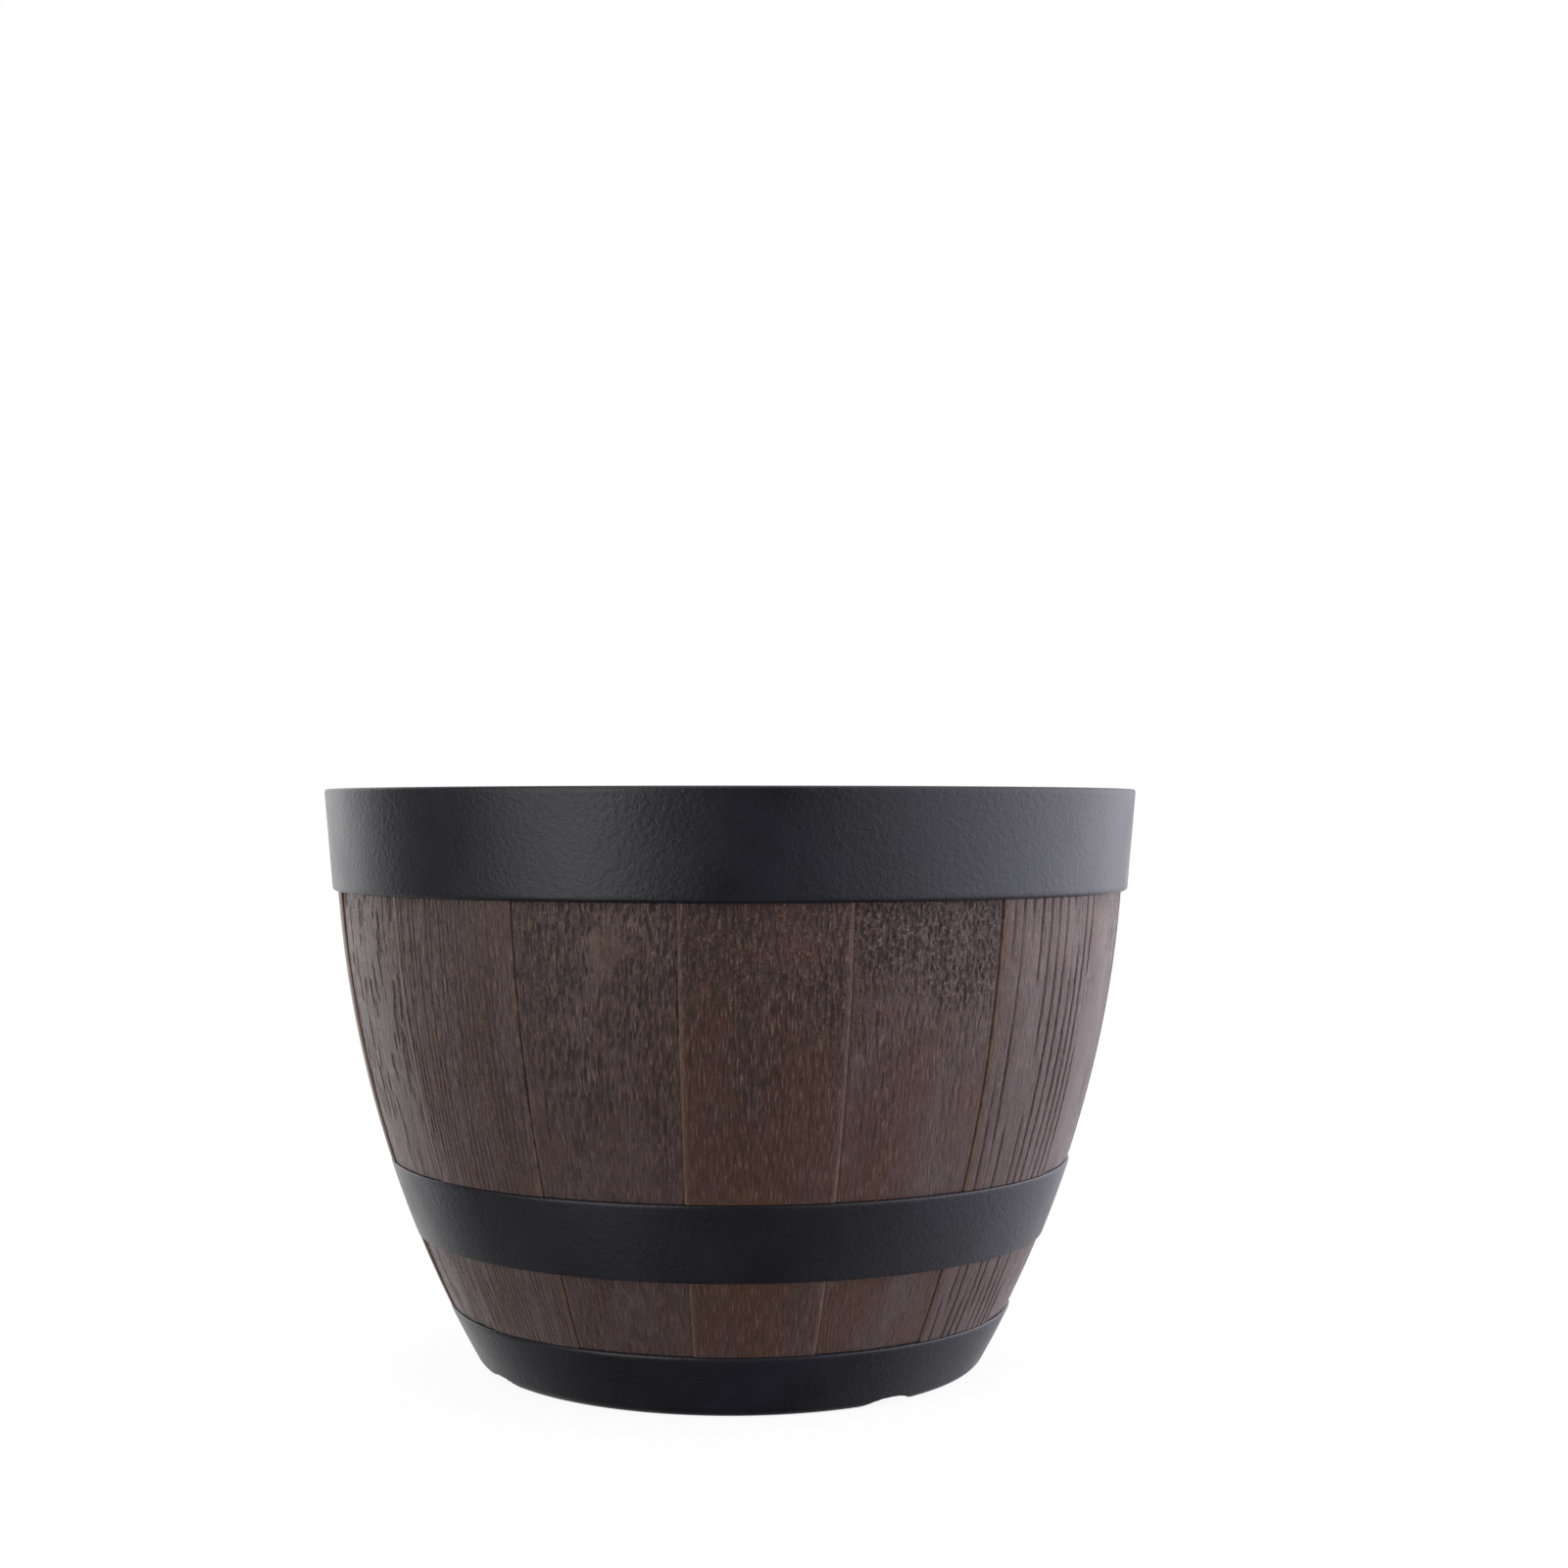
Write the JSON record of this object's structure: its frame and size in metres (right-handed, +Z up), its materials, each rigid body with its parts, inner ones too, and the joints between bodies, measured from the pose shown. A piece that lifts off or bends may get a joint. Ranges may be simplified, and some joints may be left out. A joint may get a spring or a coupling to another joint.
{
  "type": "barrel planter",
  "caption": "Round tapered planter: a black moulded pot clad in curved wood-look staves, held by a deep rim band, a hoop and a notched foot band.",
  "frame": {"origin": "centre of the standing face, on the ground", "axes": "+Z up along the planter's axis, -Y the front, +X to the right seen from the front"},
  "size_m": [0.3548, 0.3548, 0.25],
  "materials": {
    "pot_resin": "smooth moulded black resin, semi-gloss",
    "band_resin": "blue-black resin with a fine leathery texture, satin",
    "stave_resin": "dark brown imitation wood with moulded grain, satin"
  },
  "bodies": {
    "root": {"inner_pot": "pot_resin", "rim_band": "band_resin", "middle_band": "band_resin", "base_band": "band_resin", "stave_01": "stave_resin", "stave_02": "stave_resin", "stave_03": "stave_resin", "stave_04": "stave_resin", "stave_05": "stave_resin", "stave_06": "stave_resin", "stave_07": "stave_resin", "stave_08": "stave_resin", "stave_09": "stave_resin", "stave_10": "stave_resin", "stave_11": "stave_resin", "stave_12": "stave_resin", "stave_13": "stave_resin", "stave_14": "stave_resin", "stave_15": "stave_resin", "stave_16": "stave_resin"}
  },
  "joints": []
}
